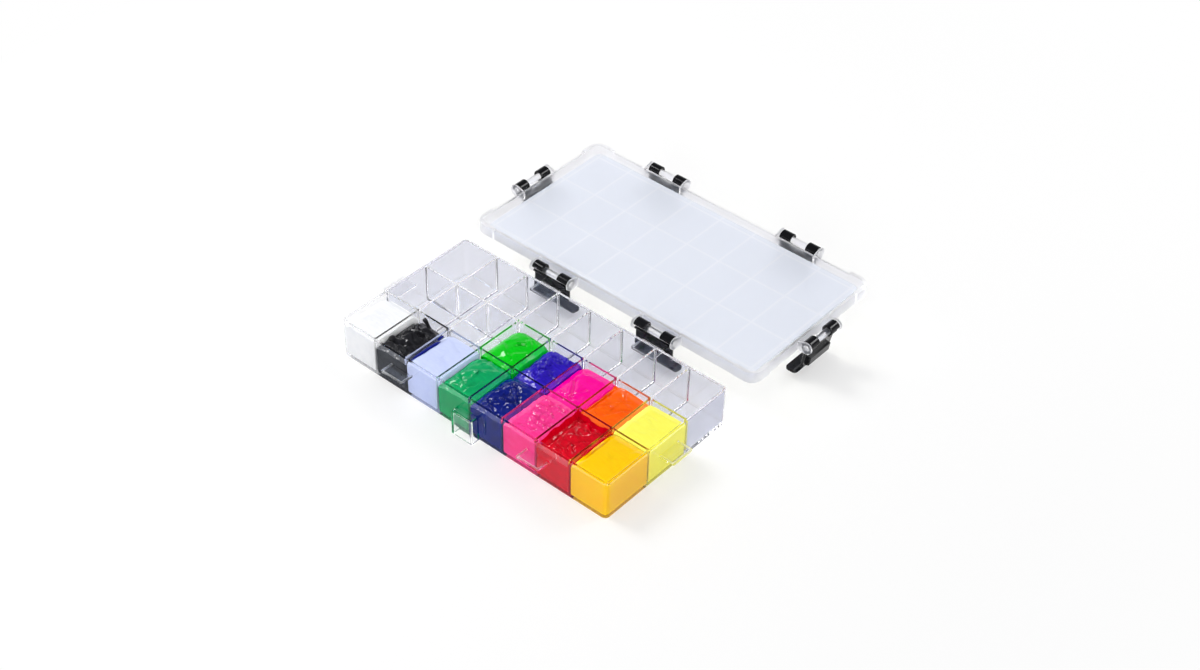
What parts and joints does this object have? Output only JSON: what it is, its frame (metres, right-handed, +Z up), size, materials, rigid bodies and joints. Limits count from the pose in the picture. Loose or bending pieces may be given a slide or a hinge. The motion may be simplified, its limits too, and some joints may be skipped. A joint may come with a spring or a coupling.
{
  "type": "paint palette box",
  "caption": "Clear divided paint tray with filled and empty wells, a hinged sealing lid lying open behind it, and black snap clips round its edge.",
  "frame": {"origin": "centre of the tray's flat underside, on the table", "axes": "+X along the rows of wells, to the right seen from the front; +Y from the front wall towards the open lid; +Z up"},
  "size_m": [0.2826, 0.3038, 0.0358],
  "materials": {
    "clear_plastic": "clear moulded styrene, polished",
    "milky_pad": "soft milky sealing sheet, satin",
    "black_plastic": "black moulded plastic, glossy",
    "paint_white": "wet thick paint, glossy",
    "paint_black": "wet thick paint, glossy",
    "paint_lavender": "wet thick paint, glossy",
    "paint_emerald": "wet thick paint, glossy",
    "paint_navy": "wet thick paint, glossy",
    "paint_rose": "wet thick paint, glossy",
    "paint_red": "wet thick paint, glossy",
    "paint_golden_yellow": "wet thick paint, glossy",
    "paint_bright_green": "wet thick paint, glossy",
    "paint_violet": "wet thick paint, glossy",
    "paint_magenta": "wet thick paint, glossy",
    "paint_orange": "wet thick paint, glossy",
    "paint_lemon_yellow": "wet thick paint, glossy"
  },
  "bodies": {
    "tray": {"tray_shell": "clear_plastic", "long_dividers": "clear_plastic", "cross_dividers": "clear_plastic", "catch_ledges": "clear_plastic", "front_lug": "clear_plastic", "paint_white": "paint_white", "paint_black": "paint_black", "paint_lavender": "paint_lavender", "paint_emerald": "paint_emerald", "paint_navy": "paint_navy", "paint_rose": "paint_rose", "paint_red": "paint_red", "paint_golden_yellow": "paint_golden_yellow", "paint_bright_green": "paint_bright_green", "paint_violet": "paint_violet", "paint_magenta": "paint_magenta", "paint_orange": "paint_orange", "paint_lemon_yellow": "paint_lemon_yellow"},
    "lid": {"lid_shell": "clear_plastic", "sealing_pad": "milky_pad", "back_left_bracket": "clear_plastic", "back_right_bracket": "clear_plastic", "front_left_bracket": "clear_plastic", "front_right_bracket": "clear_plastic", "left_bracket": "clear_plastic", "right_bracket": "clear_plastic"},
    "back_left_clip": {"back_left_clip": "black_plastic"},
    "back_right_clip": {"back_right_clip": "black_plastic"},
    "front_left_clip": {"front_left_clip": "black_plastic"},
    "front_right_clip": {"front_right_clip": "black_plastic"},
    "left_clip": {"left_clip": "black_plastic"},
    "right_clip": {"right_clip": "black_plastic"}
  },
  "joints": [
    {"name": "lid_hinge", "type": "hinge", "parent": "tray", "child": "lid", "pos_m": [0, 0.0751, 0.031], "axis": [1, 0, 0], "range_deg": [0, 180]},
    {"name": "back_left_clip_swing", "type": "hinge", "parent": "tray", "child": "back_left_clip", "pos_m": [-0.048, 0.0751, 0.031], "axis": [1, 0, 0], "range_deg": [0, 30]},
    {"name": "back_right_clip_swing", "type": "hinge", "parent": "tray", "child": "back_right_clip", "pos_m": [0.048, 0.0751, 0.031], "axis": [1, 0, 0], "range_deg": [0, 30]},
    {"name": "front_left_clip_swing", "type": "hinge", "parent": "lid", "child": "front_left_clip", "pos_m": [-0.063, 0.2253, 0.031], "axis": [1, 0, 0], "range_deg": [-19, 196]},
    {"name": "front_right_clip_swing", "type": "hinge", "parent": "lid", "child": "front_right_clip", "pos_m": [0.063, 0.2253, 0.031], "axis": [1, 0, 0], "range_deg": [-19, 196]},
    {"name": "left_clip_swing", "type": "hinge", "parent": "lid", "child": "left_clip", "pos_m": [-0.1365, 0.1502, 0.031], "axis": [0, 1, 0], "range_deg": [-3, 212]},
    {"name": "right_clip_swing", "type": "hinge", "parent": "lid", "child": "right_clip", "pos_m": [0.1365, 0.1502, 0.031], "axis": [0, -1, 0], "range_deg": [-24, 191]}
  ]
}
